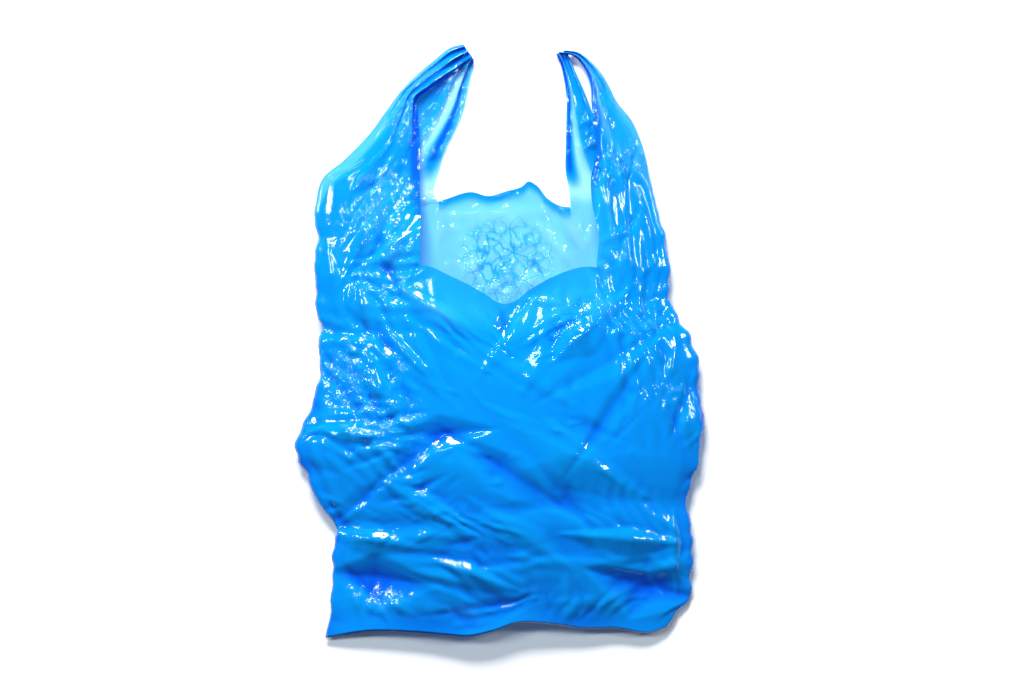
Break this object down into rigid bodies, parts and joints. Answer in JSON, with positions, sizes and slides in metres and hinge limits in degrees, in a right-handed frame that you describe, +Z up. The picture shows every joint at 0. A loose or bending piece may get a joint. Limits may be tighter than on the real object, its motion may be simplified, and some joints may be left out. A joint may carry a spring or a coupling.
{
  "type": "plastic carrier bag",
  "caption": "Thin film carrier bag with loop handles, side gussets and a sealed bottom, lying on its back with its mouth open.",
  "frame": {"origin": "middle of the bag's outline seen from above, on the surface it lies on", "axes": "+X across the bag, +Y from the bottom seal to the handles, +Z up, away from what it lies on"},
  "size_m": [0.3404, 0.5, 0.046],
  "materials": {
    "film": "thin see-through blue polyethylene film, smooth and glossy where it is taut, crinkled where it was crushed"
  },
  "bodies": {
    "root": {"bag": "film"}
  },
  "joints": []
}
